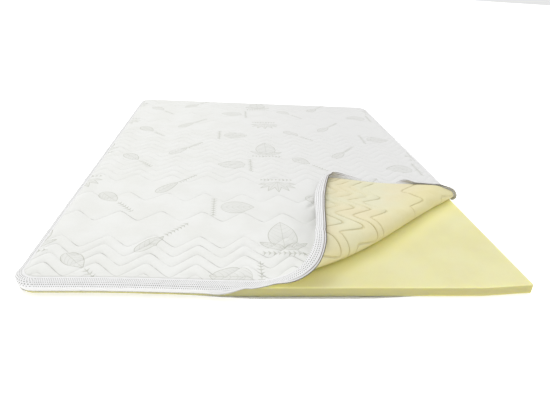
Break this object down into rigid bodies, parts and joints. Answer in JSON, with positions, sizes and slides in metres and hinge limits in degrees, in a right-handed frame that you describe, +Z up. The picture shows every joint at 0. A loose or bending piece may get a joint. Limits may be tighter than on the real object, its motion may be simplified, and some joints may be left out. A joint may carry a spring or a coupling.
{
  "type": "mattress topper",
  "caption": "Thin foam mattress topper in a quilted knit cover with a mesh border, unzipped along the front, its front right corner folded back over the top",
  "frame": {"origin": "under the middle of the whole topper, at the surface it lies on", "axes": "+X to the right along the front edge, +Y to the back along the topper's length, +Z up"},
  "size_m": [1.4488, 2.059, 0.1356],
  "materials": {
    "foam": "pale yellow open-cell foam, matt",
    "bottom_cloth": "plain off-white knit",
    "quilted_knit": "white quilted knit with pale grey-green leaf motifs, cream lining",
    "border_mesh": "white knitted mesh",
    "zip_tape": "white woven tape with a grey-brown coil"
  },
  "bodies": {
    "root": {"foam_core": "foam", "cover_bottom": "bottom_cloth", "cover_lid": "quilted_knit", "cover_border": "border_mesh", "zip_upper": "zip_tape", "zip_lower": "zip_tape"}
  },
  "joints": []
}
